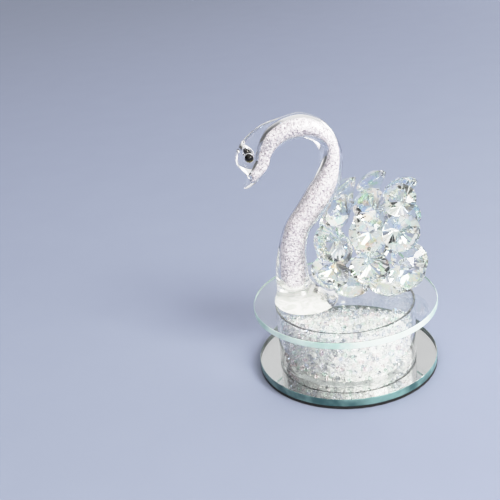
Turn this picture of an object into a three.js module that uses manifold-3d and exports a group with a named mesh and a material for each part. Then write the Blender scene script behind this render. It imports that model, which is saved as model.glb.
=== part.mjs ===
// Crystal swan figurine. A clear glass swan, with wings of cut crystals, stands on the lid of
// a round glass drum, and the drum on a mirror base with a felt pad under it.
// Millimetres, +Z up, the swan faces -X, origin at the centre of the pad's underside.

import * as THREE from 'three';
import { ConvexGeometry } from 'three/addons/geometries/ConvexGeometry.js';
import { LoftGeometry } from 'three/addons/geometries/LoftGeometry.js';
import { mergeVertices } from 'three/addons/utils/BufferGeometryUtils.js';
import Module from 'manifold-3d';

// The round stack under the swan, from the table up
const PAD = { radius: 40.2, height: 1.2, bevel: 0.2 };
const BASE = { radius: 40, height: 3.5, bevel: 0.4 };
const DRUM = { radius: 30.8, height: 24.3, bevel: 0.4 };
const LID = { radius: 40.4, height: 3, bevel: 0.4 };
const ROUND_SIDES = 64;

const BASE_BOTTOM = PAD.height;
const DRUM_BOTTOM = BASE_BOTTOM + BASE.height;
const LID_BOTTOM = DRUM_BOTTOM + DRUM.height;
const LID_TOP = LID_BOTTOM + LID.height;

// The swan's profile as matching points of its front rail (breast, throat, chin, under the bill)
// and its back rail (nape, crown, forehead, top of the bill), with the half width between them
const SWAN_STATIONS = [
  { front: [-31, LID_TOP], back: [-2.5, LID_TOP], half: 15.4 },
  { front: [-30.7, 33.4], back: [-4.2, 33.4], half: 14.2 },
  { front: [-29.8, 36], back: [-9.6, 36], half: 10.8 },
  { front: [-29.4, 39.5], back: [-13.4, 39.5], half: 8.4 },
  { front: [-29.3, 44], back: [-14.9, 44], half: 7.3 },
  { front: [-28.8, 50], back: [-15.3, 50], half: 6.8 },
  { front: [-27, 58], back: [-15, 56.4], half: 6.1 },
  { front: [-23.4, 68.4], back: [-12.8, 64.8], half: 5.7 },
  { front: [-17.6, 77], back: [-8.3, 70.7], half: 5.7 },
  { front: [-13.2, 83.6], back: [-3.4, 77], half: 5.8 },
  { front: [-9, 89.6], back: [0.6, 84], half: 5.4 },
  { front: [-6.9, 95], back: [2.6, 93], half: 4.8 },
  { front: [-6.9, 100.8], back: [1.6, 103.2], half: 4.6 },
  { front: [-9.3, 104.8], back: [-4.2, 112.6], half: 4.9 },
  { front: [-13.2, 106.2], back: [-13.4, 116.9], half: 5.3 },
  { front: [-19.2, 105.2], back: [-21.8, 115.4], half: 5.3 },
  { front: [-24, 102.2], back: [-29.6, 113], half: 5.4 },
  { front: [-26.8, 98.8], back: [-37, 107.8], half: 5.4 },
  { front: [-27.6, 95.8], back: [-41.2, 102], half: 5.1 },
  { front: [-29.2, 93.1], back: [-41.5, 97.2], half: 4.4 },
  { front: [-31.3, 90.6], back: [-39.2, 94], half: 3.3 },
  { front: [-33.6, 88.5], back: [-37.5, 91.6], half: 2.3 },
  { front: [-36, 86.7], back: [-38.2, 89], half: 1.7 },
  { front: [-38.5, 85.5], back: [-39.7, 87], half: 0.9 },
];
const SWAN_SECTIONS = 76;
const SWAN_SIDES = 20;

// Bead eyes, each half sunk in a socket on its side of the head
const EYE = { radius: 1.9, x: -35.4, z: 100.6, spread: 4.4, sides: 12 };
const GLUE_GAP = 0.3;

// Proportions of the crystals' round cut, as shares of its diameter
const CUT = { table: 0.56, crown: 0.16, girdle: 0.03, pavilion: 0.43 };
const CUT_FOLDS = 8;

// Each wing is three rows of three crystals, tables outwards. Every second one stands further out,
// so that the wide girdles lap over each other. Along x a row has its middle crystal and a step from
// column to column; it climbs towards the tail, and its middle crystal rises above the outer two.
// lean tips the tables up, turn swings them back, and fan spreads the columns, in degrees. lead
// brings the first crystal of a row forward, close to the neck.
const WING_ROWS = [
  {
    height: 47.1, rise: 4.1, climb: -1.3, middle: 11.2, step: 15.9,
    size: 16.8, lean: -8, turn: 0, fan: 17, out: 0.2, lead: 0.8,
  },
  {
    height: 65, rise: 0, climb: 1.4, middle: 11.3, step: 13.6,
    size: 16.3, lean: 11, turn: -9, fan: 23, out: -0.3, lead: 2.2,
  },
  {
    height: 78.8, rise: 1.7, climb: 1.5, middle: 12.1, step: 12.3,
    size: 14.4, lean: 41, turn: -35, fan: 20, out: 1.4, lead: 0,
  },
];
const WING_COLUMNS = 3;
const WING_INNER = 8.5;
const WING_OUTER = 12.2;

// The right wing is set a little further back than the left one, and its rows dip towards the tail
const WINGS = [
  { label: 'left', sign: -1, back: 0, dip: 0 },
  { label: 'right', sign: 1, back: 2.4, dip: 1.8 },
];

// Two crystals lie table down over the lid, each on a bead of glue, and carry the wings
const KEEL_CRYSTALS = [
  { name: 'keel_crystal_front', x: 3.3, size: 14.9 },
  { name: 'keel_crystal_rear', x: 20.5, size: 19 },
];
const KEEL_GLUE = 1.3;

const GLASS = finish(0xe6efee, 0.04, 0, 0.4);
const CRYSTAL = finish(0xf2f5f6, 0.02, 0, 0.5);
const FILLED_DRUM = finish(0xdfe2e1, 0.1, 0, 0.85);
const MIRROR = finish(0xc9cfd0, 0.04, 0.9);
const FELT = finish(0x17181a, 0.95, 0);
const BEAD = finish(0x100f0d, 0.08, 0);

const wasm = await Module();
wasm.setup();

function finish(color, roughness, metalness, opacity = 1) {
  const transparent = opacity < 1;
  return new THREE.MeshStandardMaterial({ color, roughness, metalness, opacity, transparent });
}

function piece(name, geometry, material) {
  const mesh = new THREE.Mesh(geometry, material);
  mesh.name = name;
  return mesh;
}

// A flat round plate with bevelled edges, standing on the plane z = bottom
function roundPlate({ radius, height, bevel }, bottom) {
  const profile = [
    new THREE.Vector2(0, 0),
    new THREE.Vector2(radius - bevel, 0),
    new THREE.Vector2(radius, bevel),
    new THREE.Vector2(radius, height - bevel),
    new THREE.Vector2(radius - bevel, height),
    new THREE.Vector2(0, height),
  ];
  const plate = new THREE.LatheGeometry(profile, ROUND_SIDES);
  return plate.rotateX(Math.PI / 2).translate(0, 0, bottom);
}

// A rail of the swan's profile in the plane y = 0
function rail(side) {
  const points = SWAN_STATIONS.map((station) => new THREE.Vector3(station[side][0], 0, station[side][1]));
  return new THREE.CatmullRomCurve3(points, false, 'centripetal');
}

// The half width along the profile, as the height of a curve over the station number
function widthCurve() {
  const points = SWAN_STATIONS.map((station, index) => new THREE.Vector3(index, station.half, 0));
  return new THREE.CatmullRomCurve3(points, false, 'centripetal');
}

// Foot, breast, neck, head and bill in one piece: oval sections from rail to rail
function swanBody() {
  const front = rail('front');
  const back = rail('back');
  const width = widthCurve();
  const sections = [];
  for (let step = 0; step <= SWAN_SECTIONS; step += 1) {
    const along = step / SWAN_SECTIONS;
    const start = front.getPoint(along);
    const end = back.getPoint(along);
    const middle = start.clone().add(end).multiplyScalar(0.5);
    const reach = end.clone().sub(middle);
    const side = new THREE.Vector3(0, width.getPoint(along).y, 0);
    const section = [];
    for (let corner = 0; corner < SWAN_SIDES; corner += 1) {
      const angle = (corner / SWAN_SIDES) * 2 * Math.PI;
      const point = middle.clone().addScaledVector(reach, Math.cos(angle));
      section.push(point.addScaledVector(side, Math.sin(angle)));
    }
    sections.push(section);
  }
  return new LoftGeometry(sections, { capStart: true, capEnd: true });
}

function eyeBall(radius, sign) {
  const ball = new THREE.SphereGeometry(radius, EYE.sides, EYE.sides);
  return ball.translate(EYE.x, sign * EYE.spread, EYE.z);
}

function toSolid(geometry) {
  const bare = new THREE.BufferGeometry();
  bare.setAttribute('position', geometry.attributes.position);
  bare.setIndex(geometry.index);
  const merged = mergeVertices(bare);
  return new wasm.Manifold(new wasm.Mesh({
    numProp: 3,
    vertProperties: new Float32Array(merged.attributes.position.array),
    triVerts: new Uint32Array(merged.index.array),
  }));
}

function toGeometry(solid) {
  const mesh = solid.getMesh();
  const geometry = new THREE.BufferGeometry();
  geometry.setAttribute('position', new THREE.BufferAttribute(mesh.vertProperties, 3));
  geometry.setIndex(new THREE.BufferAttribute(mesh.triVerts, 1));
  return geometry;
}

// The swan with a socket cut for each eye
function swanWithSockets() {
  let solid = toSolid(swanBody());
  for (const sign of [-1, 1]) {
    solid = solid.subtract(toSolid(eyeBall(EYE.radius + GLUE_GAP, sign)));
  }
  return toGeometry(solid);
}

// A ring of corner points about the cut's axis, which is +Z with the table up
function cutRing(count, radius, height) {
  return Array.from({ length: count }, (_, index) => {
    const angle = (index / count) * 2 * Math.PI;
    return new THREE.Vector3(radius * Math.cos(angle), radius * Math.sin(angle), height);
  });
}

// A round crystal in a plain cut: an eight-sided table and wide crown facets over a thin girdle,
// and under it a fan of sixteen long wedges that meet in a point
function roundCut(size) {
  const girdle = size / 2;
  const girdleTop = (size * CUT.girdle) / 2;
  return new ConvexGeometry([
    ...cutRing(CUT_FOLDS, girdle * CUT.table, girdleTop + size * CUT.crown),
    ...cutRing(2 * CUT_FOLDS, girdle, girdleTop),
    ...cutRing(2 * CUT_FOLDS, girdle, -girdleTop),
    new THREE.Vector3(0, 0, -girdleTop - size * CUT.pavilion),
  ]);
}

// A crystal with its girdle's middle at a place and its table facing a direction
function placedCrystal(name, size, place, facing) {
  const mesh = piece(name, roundCut(size), CRYSTAL);
  mesh.position.copy(place);
  mesh.quaternion.setFromUnitVectors(new THREE.Vector3(0, 0, 1), facing.clone().normalize());
  return mesh;
}

// One wing: sign -1 is the swan's left side, 1 its right
function wing({ label, sign, back, dip }) {
  const crystals = new THREE.Group();
  const centre = (WING_COLUMNS - 1) / 2;
  WING_ROWS.forEach((row, level) => {
    for (let column = 0; column < WING_COLUMNS; column += 1) {
      const away = column - centre;
      const spread = row.out + ((level + column) % 2 === 1 ? WING_OUTER : WING_INNER);
      const height = row.height + row.rise * (1 - Math.abs(away)) + (row.climb - dip) * away;
      const lead = column === 0 ? row.lead : 0;
      const along = row.middle + row.step * away + back - lead;
      const place = new THREE.Vector3(along, sign * spread, height);
      const lean = THREE.MathUtils.degToRad(row.lean);
      const turn = THREE.MathUtils.degToRad(row.turn + away * row.fan);
      const facing = new THREE.Vector3(
        Math.sin(turn) * Math.cos(lean),
        sign * Math.cos(turn) * Math.cos(lean),
        Math.sin(lean),
      );
      const name = `${label}_wing_crystal_${level + 1}_${column + 1}`;
      crystals.add(placedCrystal(name, row.size, place, facing));
    }
  });
  return crystals;
}

function keelCrystal({ name, x, size }) {
  const tableDrop = size * (CUT.crown + CUT.girdle / 2);
  const place = new THREE.Vector3(x, 0, LID_TOP + KEEL_GLUE + tableDrop);
  return placedCrystal(name, size, place, new THREE.Vector3(0, 0, -1));
}

const figurine = new THREE.Group();
figurine.add(piece('felt_pad', roundPlate(PAD, 0), FELT));
figurine.add(piece('mirror_base', roundPlate(BASE, BASE_BOTTOM), MIRROR));
figurine.add(piece('crystal_drum', roundPlate(DRUM, DRUM_BOTTOM), FILLED_DRUM));
figurine.add(piece('lid_disc', roundPlate(LID, LID_BOTTOM), GLASS));
figurine.add(piece('swan_body', swanWithSockets(), GLASS));
figurine.add(piece('left_eye', eyeBall(EYE.radius, -1), BEAD));
figurine.add(piece('right_eye', eyeBall(EYE.radius, 1), BEAD));
WINGS.forEach((side) => figurine.add(wing(side)));
KEEL_CRYSTALS.forEach((crystal) => figurine.add(keelCrystal(crystal)));

export default figurine;
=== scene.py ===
"""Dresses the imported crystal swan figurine: glass body, cut crystals, filled drum and mirror base.

Sizes are in metres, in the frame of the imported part: +Z is up, the swan faces -X, the camera stands on
the -Y side and the underside of the felt pad is at z = 0.
"""

import logging
import math
from collections.abc import Sequence
from dataclasses import dataclass, replace
from enum import Enum
from itertools import combinations

import bmesh
import bpy
import numpy as np
from mathutils import Matrix, Vector, noise


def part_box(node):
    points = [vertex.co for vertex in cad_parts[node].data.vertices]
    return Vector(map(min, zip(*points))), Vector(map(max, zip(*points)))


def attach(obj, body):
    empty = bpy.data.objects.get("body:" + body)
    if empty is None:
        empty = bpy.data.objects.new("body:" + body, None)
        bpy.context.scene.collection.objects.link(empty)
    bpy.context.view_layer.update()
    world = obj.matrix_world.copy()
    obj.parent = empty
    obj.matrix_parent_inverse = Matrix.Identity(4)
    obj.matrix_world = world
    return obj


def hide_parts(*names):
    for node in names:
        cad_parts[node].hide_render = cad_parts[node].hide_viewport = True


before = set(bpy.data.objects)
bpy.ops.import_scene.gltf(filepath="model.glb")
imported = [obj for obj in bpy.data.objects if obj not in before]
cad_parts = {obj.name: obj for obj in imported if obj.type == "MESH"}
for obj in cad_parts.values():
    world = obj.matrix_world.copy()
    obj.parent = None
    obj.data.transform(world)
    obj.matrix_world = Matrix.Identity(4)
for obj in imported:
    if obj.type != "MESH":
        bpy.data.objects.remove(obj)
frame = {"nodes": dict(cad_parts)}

LOG = logging.getLogger("swan_figurine")
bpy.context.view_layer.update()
BODY = "root"
MM = 0.001
SEED = 41
# Corners nearer than this are one
WELD = 0.001 * MM
# Faces whose heights differ by less than this lie at one level
HAIR = 0.01 * MM
# A face is level where its normal's Z is past this
LEVEL = 0.9
# Past this angle an edge stays sharp, which keeps the flat faces beside a rounded rim flat to the eye
RIM_CREASE = math.radians(10)


class Axis(Enum):
    """The frame's axes, as unit vectors."""

    X = (1.0, 0.0, 0.0)
    Y = (0.0, 1.0, 0.0)
    Z = (0.0, 0.0, 1.0)


def linear(hex_colour: str) -> tuple[float, float, float, float]:
    """Turns an sRGB hex colour to linear light.

    Args:
        hex_colour: the colour as #RRGGBB.

    Returns:
        Red, green, blue and an alpha of 1.
    """
    channels = [int(hex_colour[i : i + 2], 16) / 255 for i in (1, 3, 5)]
    lit = [c / 12.92 if c <= 0.04045 else ((c + 0.055) / 1.055) ** 2.4 for c in channels]
    return (lit[0], lit[1], lit[2], 1.0)


def add_node(
    tree: bpy.types.NodeTree, kind: str, settings: dict | None = None, links: dict | None = None
) -> bpy.types.Node:
    """Adds one node to a tree.

    Args:
        tree: the node tree.
        kind: the node's type name.
        settings: values for its inputs, by name or number, or for its own properties.
        links: sockets that feed its inputs, by name or number.

    Returns:
        The new node.
    """
    node = tree.nodes.new(kind)
    for key, value in (settings or {}).items():
        if isinstance(key, int) or key in node.inputs:
            node.inputs[key].default_value = value
        else:
            setattr(node, key, value)
    for key, socket in (links or {}).items():
        tree.links.new(socket, node.inputs[key])
    return node


class Finish:
    """A real material, made once and shared by the pieces that have it."""

    name: str

    def material(self) -> bpy.types.Material:
        """Makes the material, or finds it where it is already made.

        Returns:
            The material.
        """
        known = bpy.data.materials.get(self.name)
        if known:
            return known
        material = bpy.data.materials.new(self.name)
        material.use_nodes = True
        tree = material.node_tree
        tree.nodes.clear()
        place = add_node(tree, "ShaderNodeTexCoord").outputs["Object"]
        shader = self.surface(tree, place)
        output = add_node(tree, "ShaderNodeOutputMaterial", None, {"Surface": shader.outputs[0]})
        depth = self.depth(tree)
        if depth:
            tree.links.new(depth.outputs[0], output.inputs["Volume"])
        return material

    def surface(self, tree: bpy.types.NodeTree, place: bpy.types.NodeSocket) -> bpy.types.Node:
        """Adds the nodes of the surface, from the socket of the place on, and returns its shader."""
        raise NotImplementedError

    def depth(self, tree: bpy.types.NodeTree) -> bpy.types.Node | None:
        """Adds the node for what light meets below the surface, where there is any."""
        return None


@dataclass(frozen=True)
class GlassFinish(Finish):
    """Clear glass: sharp reflections, bent light and the faint waves that its making leaves.

    Attributes:
        name: what the glass is.
        ior: how strongly it bends light.
        wave: distance between the waves of its surface.
        wave_depth: their height.
        through: colour that a long way through the glass leaves, or None where it is colourless.
        through_density: how fast it takes up the other colours, per metre.
        chip_colours: name of a mesh attribute with each chip's own painted tint, or None.
        fire: size of the stretches of one painted pastel tint, which stands in for the light that a cut
            splits, or None.
        fire_share: share of the stretches where the painted split light is stronger.
        fire_depth: strength of the painted tints in most stretches, and where the painted split light is full.
        fire_hues: first and last hue of the tints, from cream through mint to pale blue.
    """

    name: str
    ior: float
    wave: float
    wave_depth: float
    through: str | None = None
    through_density: float = 0.0
    chip_colours: str | None = None
    fire: float | None = None
    fire_share: float = 0.2
    fire_depth: tuple[float, float] = (0.09, 0.42)
    fire_hues: tuple[float, float] = (0.05, 0.62)

    def surface(self, tree: bpy.types.NodeTree, place: bpy.types.NodeSocket) -> bpy.types.Node:
        """Adds a waved clear surface, with the painted split-light tints of its cut or of its chips.

        Args:
            tree: the material's nodes.
            place: the socket of the place on the object.

        Returns:
            The shader.
        """
        waves = add_node(
            tree, "ShaderNodeTexNoise", {"Scale": 1 / self.wave, "Detail": 1.0}, {"Vector": place}
        )
        bump = add_node(
            tree,
            "ShaderNodeBump",
            {"Distance": self.wave_depth, "Strength": 1.0},
            {"Height": waves.outputs[0]},
        )
        shader = add_node(
            tree,
            "ShaderNodeBsdfPrincipled",
            {"Base Color": linear("#FFFFFF"), "Transmission Weight": 1.0, "IOR": self.ior, "Roughness": 0.0},
            {"Normal": bump.outputs["Normal"]},
        )
        if self.chip_colours:
            tint = add_node(tree, "ShaderNodeAttribute", {"attribute_name": self.chip_colours})
            tree.links.new(tint.outputs["Color"], shader.inputs["Base Color"])
        # Painted tints of split light, standing in for the dispersion of a cut
        if self.fire:
            tint = self.painted_fire_tint(tree, place)
            tree.links.new(tint.outputs["Color"], shader.inputs["Base Color"])
        return shader

    def painted_fire_tint(self, tree: bpy.types.NodeTree, place: bpy.types.NodeSocket) -> bpy.types.Node:
        """Adds painted tints that stand in for split light: stretches, each with a hue and a strength by
        chance.

        Args:
            tree: the material's nodes.
            place: the socket of the place on the object.

        Returns:
            The node whose colour is the painted tint.
        """
        cells = add_node(tree, "ShaderNodeTexVoronoi", {"Scale": 1 / self.fire}, {"Vector": place})
        chance = add_node(tree, "ShaderNodeSeparateColor", None, {"Color": cells.outputs["Color"]})
        first, last = self.fire_hues
        hue = add_node(
            tree,
            "ShaderNodeMapRange",
            {"To Min": first, "To Max": last, "interpolation_type": "SMOOTHSTEP"},
            {"Value": chance.outputs["Red"]},
        )
        usual, full = self.fire_depth
        strength = add_node(
            tree,
            "ShaderNodeMapRange",
            {"From Min": 1 - self.fire_share, "To Min": usual, "To Max": full},
            {"Value": chance.outputs["Green"]},
        )
        return add_node(
            tree,
            "ShaderNodeCombineColor",
            {"mode": "HSV", 2: 1.0},
            {0: hue.outputs[0], 1: strength.outputs[0]},
        )

    def depth(self, tree: bpy.types.NodeTree) -> bpy.types.Node | None:
        """Adds the tint in the depth of the glass.

        Args:
            tree: the material's nodes.

        Returns:
            The node that takes up light, or None for colourless glass.
        """
        if not self.through:
            return None
        tint = {"Color": linear(self.through), "Density": self.through_density}
        return add_node(tree, "ShaderNodeVolumeAbsorption", tint)


@dataclass(frozen=True)
class ToneFinish(Finish):
    """A surface in soft patches of two tones.

    Attributes:
        name: what the surface is.
        ground: colour between the patches.
        patch: colour of the patches.
        size: width of a patch.
        values: the other values of its shader, by name.
        layers: layers of finer patches within a patch.
        ragged: how strong the finer layers are.
        swirl: how far the patches are drawn into swirls.
        limits: values of the pattern past which one tone is alone, or None where they mix evenly.
        relief: how far the patches stand up.
        painted_glow: brightness of a painted glow, which stands in for the light that the piece leads to this
            face.
    """

    name: str
    ground: str
    patch: str
    size: float
    values: dict[str, float]
    layers: float = 2.0
    ragged: float = 0.5
    swirl: float = 0.0
    limits: tuple[float, float] | None = None
    relief: float = 0.0
    painted_glow: float = 0.0

    def surface(self, tree: bpy.types.NodeTree, place: bpy.types.NodeSocket) -> bpy.types.Node:
        """Adds a surface of two tones, raised or given a painted glow where the finish says so.

        Args:
            tree: the material's nodes.
            place: the socket of the place on the object.

        Returns:
            The shader.
        """
        patches = add_node(
            tree,
            "ShaderNodeTexNoise",
            {
                "Scale": 1 / self.size,
                "Detail": self.layers,
                "Roughness": self.ragged,
                "Distortion": self.swirl,
            },
            {"Vector": place},
        )
        share = patches
        if self.limits:
            low, high = self.limits
            share = add_node(
                tree,
                "ShaderNodeMapRange",
                {"From Min": low, "From Max": high, "interpolation_type": "SMOOTHSTEP"},
                {"Value": patches.outputs[0]},
            )
        colour = add_node(
            tree,
            "ShaderNodeMix",
            {"data_type": "RGBA", 6: linear(self.ground), 7: linear(self.patch)},
            {0: share.outputs[0]},
        )
        shader = add_node(tree, "ShaderNodeBsdfPrincipled", self.values, {"Base Color": colour.outputs[2]})
        if self.relief:
            bump = add_node(
                tree,
                "ShaderNodeBump",
                {"Distance": self.relief, "Strength": 0.8},
                {"Height": patches.outputs[0]},
            )
            tree.links.new(bump.outputs["Normal"], shader.inputs["Normal"])
        # Painted glow: the surface gives off its own colour as light, though it is no lamp
        if self.painted_glow:
            tree.links.new(colour.outputs[2], shader.inputs["Emission Color"])
            shader.inputs["Emission Strength"].default_value = self.painted_glow
        return shader


@dataclass(frozen=True)
class GrainFinish(Finish):
    """Crystal chips packed so tight that they read as sparkling white meal, with grey specks of painted dark
    reflection.

    Attributes:
        name: what the filling is.
        grain: size of one grain.
        pale: colour of the palest grains.
        shade: colour of the deepest ones.
        painted_dark_reflection: colour of the few grains painted dark, a painted reflection of dark
            surroundings.
        relief: height of a grain above the gaps.
        seep: how far light seeps through the grains.
        painted_glow: brightness of a painted glow, which makes a side that no lamp reaches look lit.
        speck_share: how many of the grains are painted dark specks.
        speck_blur: how many more are on the way to being one.
    """

    name: str
    grain: float
    pale: str
    shade: str
    painted_dark_reflection: str
    relief: float
    seep: float
    painted_glow: float
    speck_share: float = 0.12
    speck_blur: float = 0.06

    def surface(self, tree: bpy.types.NodeTree, place: bpy.types.NodeSocket) -> bpy.types.Node:
        """Adds cells of one grain's size, each of its own tone or painted dark as a reflection, with bumps
        between.

        Args:
            tree: the material's nodes.
            place: the socket of the place on the object.

        Returns:
            The shader.
        """
        cells = add_node(tree, "ShaderNodeTexVoronoi", {"Scale": 1 / self.grain}, {"Vector": place})
        tone = add_node(tree, "ShaderNodeSeparateColor", None, {"Color": cells.outputs["Color"]})
        # Painted reflection: a few grains, by chance, are painted dark as if reflecting dark surroundings
        painted_reflection_spots = add_node(
            tree,
            "ShaderNodeMapRange",
            {"From Min": 1 - self.speck_share, "From Max": 1 - self.speck_share + self.speck_blur},
            {"Value": tone.outputs["Red"]},
        )
        body = add_node(
            tree,
            "ShaderNodeMix",
            {"data_type": "RGBA", 6: linear(self.pale), 7: linear(self.shade)},
            {0: tone.outputs["Green"]},
        )
        colour = add_node(
            tree,
            "ShaderNodeMix",
            {"data_type": "RGBA", 7: linear(self.painted_dark_reflection)},
            {0: painted_reflection_spots.outputs[0], 6: body.outputs[2]},
        )
        bump = add_node(
            tree,
            "ShaderNodeBump",
            {"Distance": self.relief, "Strength": 1.0, "invert": True},
            {"Height": cells.outputs["Distance"]},
        )
        # The emission is a painted glow of the grains' own colour, though they are no lamp
        return add_node(
            tree,
            "ShaderNodeBsdfPrincipled",
            {
                "Roughness": 0.3,
                "IOR": 1.54,
                "Subsurface Weight": 0.5,
                "Subsurface Radius": (1.0, 1.0, 1.0),
                "Subsurface Scale": self.seep,
                "Emission Strength": self.painted_glow,
            },
            {
                "Base Color": colour.outputs[2],
                "Emission Color": colour.outputs[2],
                "Normal": bump.outputs["Normal"],
            },
        )


@dataclass(frozen=True)
class BeadFinish(Finish):
    """A moulded glass bead eye: black above, olive gold below, under a fire-polished skin.

    Attributes:
        middle: height at which the gold starts.
        reach: height over which the colours change.
        name: what the bead is.
        dark: colour of the pupil side.
        gold: colour of the lower rim.
        streak: width of the streaks that break the change.
        streak_reach: how far they shift it.
    """

    middle: float
    reach: float
    name: str = "black_glass_bead"
    dark: str = "#080605"
    gold: str = "#7A7038"
    streak: float = 0.6 * MM
    streak_reach: float = 0.8 * MM

    def surface(self, tree: bpy.types.NodeTree, place: bpy.types.NodeSocket) -> bpy.types.Node:
        """Adds a change of colour down the bead, broken by fine streaks.

        Args:
            tree: the material's nodes.
            place: the socket of the place on the object.

        Returns:
            The shader.
        """
        height = add_node(tree, "ShaderNodeSeparateXYZ", None, {"Vector": place})
        streaks = add_node(
            tree, "ShaderNodeTexNoise", {"Scale": 1 / self.streak, "Detail": 2.0}, {"Vector": place}
        )
        shift = add_node(
            tree,
            "ShaderNodeMath",
            {"operation": "MULTIPLY_ADD", 1: self.streak_reach},
            {0: streaks.outputs[0], 2: height.outputs["Z"]},
        )
        low = self.middle - self.reach
        share = add_node(
            tree,
            "ShaderNodeMapRange",
            {"From Min": self.middle, "From Max": low, "interpolation_type": "SMOOTHSTEP"},
            {"Value": shift.outputs[0]},
        )
        colour = add_node(
            tree,
            "ShaderNodeMix",
            {"data_type": "RGBA", 6: linear(self.dark), 7: linear(self.gold)},
            {0: share.outputs[0]},
        )
        return add_node(
            tree,
            "ShaderNodeBsdfPrincipled",
            {"Roughness": 0.06, "IOR": 1.4},
            {"Base Color": colour.outputs[2]},
        )


# Float glass shows its iron: clear face on, sea green through an edge
FLOAT_GLASS = GlassFinish(
    "float_glass", ior=1.52, wave=30.0 * MM, wave_depth=0.01 * MM, through="#8FC3BE", through_density=10.0
)
# The edges are ground and show the green of the glass; their paler stretches are partly painted reflection,
# and the lid's edge has a faint painted glow
LID_EDGE = ToneFinish(
    "ground_glass_edge_painted_reflection_and_glow",
    ground="#B2D1C8",
    patch="#DFF2EA",
    size=16.0 * MM,
    values={"Roughness": 0.22, "IOR": 1.52},
    layers=3.0,
    ragged=0.6,
    limits=(0.36, 0.62),
    painted_glow=0.1,
)
# The base's edge is deeper green, partly from its thicker glass and partly as painted shade, with no painted
# glow
BASE_EDGE = replace(
    LID_EDGE, name="thick_ground_glass_edge_painted_shade_and_reflection", ground="#31565A", patch="#769A99", painted_glow=0.0
)
# Clear glue joins the swan's foot to the lid; its white streaks are a painted view of the chips seen through
# it, under a faint painted glow
GLUE_FILM_PAINTED_VIEW_AND_GLOW = replace(
    LID_EDGE,
    name="glue_film_painted_chip_view_and_glow",
    ground="#DCE0DB",
    patch="#FFFFFC",
    size=5.5 * MM,
    swirl=2.2,
    painted_glow=0.12,
)
# Drops of glue sit between the crystals, grey through their depth
GLUE_DROP = GlassFinish(
    "cured_glue", ior=1.48, wave=3.0 * MM, wave_depth=0.02 * MM, through="#6E685E", through_density=700.0
)
# Tube glass drawn and bent in a flame has slow waves along it
TUBE_GLASS = GlassFinish("flame_worked_tube_glass", ior=1.5, wave=11.0 * MM, wave_depth=0.05 * MM)
# The drum is a length of drawn tube, nearly free of waves
DRUM_GLASS = GlassFinish(
    "drawn_tube_glass", ior=1.5, wave=25.0 * MM, wave_depth=0.015 * MM, through="#BFE0D8", through_density=6.0
)
# Machine-cut crystal has flat bright facets; here and there faint tints are painted into its colour, standing
# in for the light that the facets split
CUT_CRYSTAL = GlassFinish(
    "machine_cut_crystal", ior=1.52, wave=20.0 * MM, wave_depth=0.004 * MM, fire=2.6 * MM
)
# Small tumbled chips are as clear, and each has a painted tint of its own, standing in for the light that it
# splits and the dark that it reflects
CHIP_CRYSTAL = GlassFinish(
    "crystal_chips", ior=1.56, wave=4.0 * MM, wave_depth=0.002 * MM, chip_colours="fire"
)
# Many chips deep, nothing shows through them: they read as pale meal, with grey specks of painted dark
# reflection under a faint painted glow
PACKED_CHIPS = GrainFinish(
    "packed_crystal_chips",
    grain=1.2 * MM,
    pale="#E2E5E3",
    shade="#BFC3C1",
    painted_dark_reflection="#94979B",
    relief=0.4 * MM,
    seep=5.0 * MM,
    painted_glow=0.1,
)
# The heap's underside has a strong painted glow, standing in for the light that comes down through the clear
# chips
CHIPS_PAINTED_GLOW_BELOW = replace(PACKED_CHIPS, name="packed_crystal_chips_painted_glow_below", painted_glow=0.9)
# Crushed finer, crystal is a white grit whose grains lie in small shadows, with specks of painted dark
# reflection and a painted glow that evens its light
PACKED_GRIT = GrainFinish(
    "packed_crystal_grit",
    grain=0.55 * MM,
    pale="#F1EEF1",
    shade="#98929B",
    painted_dark_reflection="#77727B",
    relief=0.3 * MM,
    seep=0.15 * MM,
    painted_glow=0.34,
    speck_share=0.08,
)
# Silver laid wet under glass is a bright neutral mirror, with a breath of haze
SILVERING = ToneFinish(
    "silvered_mirror_backing",
    ground="#E9E8E8",
    patch="#DEDDDE",
    size=20.0 * MM,
    values={"Metallic": 1.0, "Roughness": 0.015},
)
# Pressed wool felt, dyed black, is matt, with a fuzz of fibres that is drawn coarse enough to show
FELT = ToneFinish(
    "black_wool_felt",
    ground="#0B0C0E",
    patch="#17181B",
    size=0.6 * MM,
    values={"Roughness": 0.95, "Sheen Weight": 0.08, "Sheen Roughness": 0.5},
    layers=4.0,
    ragged=0.7,
    swirl=1.5,
    relief=0.3 * MM,
)
# Matt lavender-grey card is even, but for a faint mottle
CARD = ToneFinish(
    "matt_card",
    ground="#98A0B7",
    patch="#959DB4",
    size=30.0 * MM,
    values={"Roughness": 0.85, "Specular IOR Level": 0.2},
)


def tie(
    mesh: bpy.types.Mesh, finishes: Sequence[Finish], nodes: Sequence[str] = (), shade: bool = True
) -> bpy.types.Object:
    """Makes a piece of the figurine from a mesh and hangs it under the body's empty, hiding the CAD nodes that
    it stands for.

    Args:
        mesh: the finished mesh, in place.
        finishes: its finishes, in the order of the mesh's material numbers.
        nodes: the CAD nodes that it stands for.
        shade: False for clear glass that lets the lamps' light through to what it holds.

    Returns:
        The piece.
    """
    piece = bpy.data.objects.new(mesh.name, mesh)
    piece.visible_shadow = shade
    bpy.context.scene.collection.objects.link(piece)
    for finish in finishes:
        mesh.materials.append(finish.material())
    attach(piece, BODY)
    if nodes:
        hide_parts(*nodes)
    LOG.info("%s: %d faces", piece.name, len(mesh.polygons))
    return piece


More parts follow.
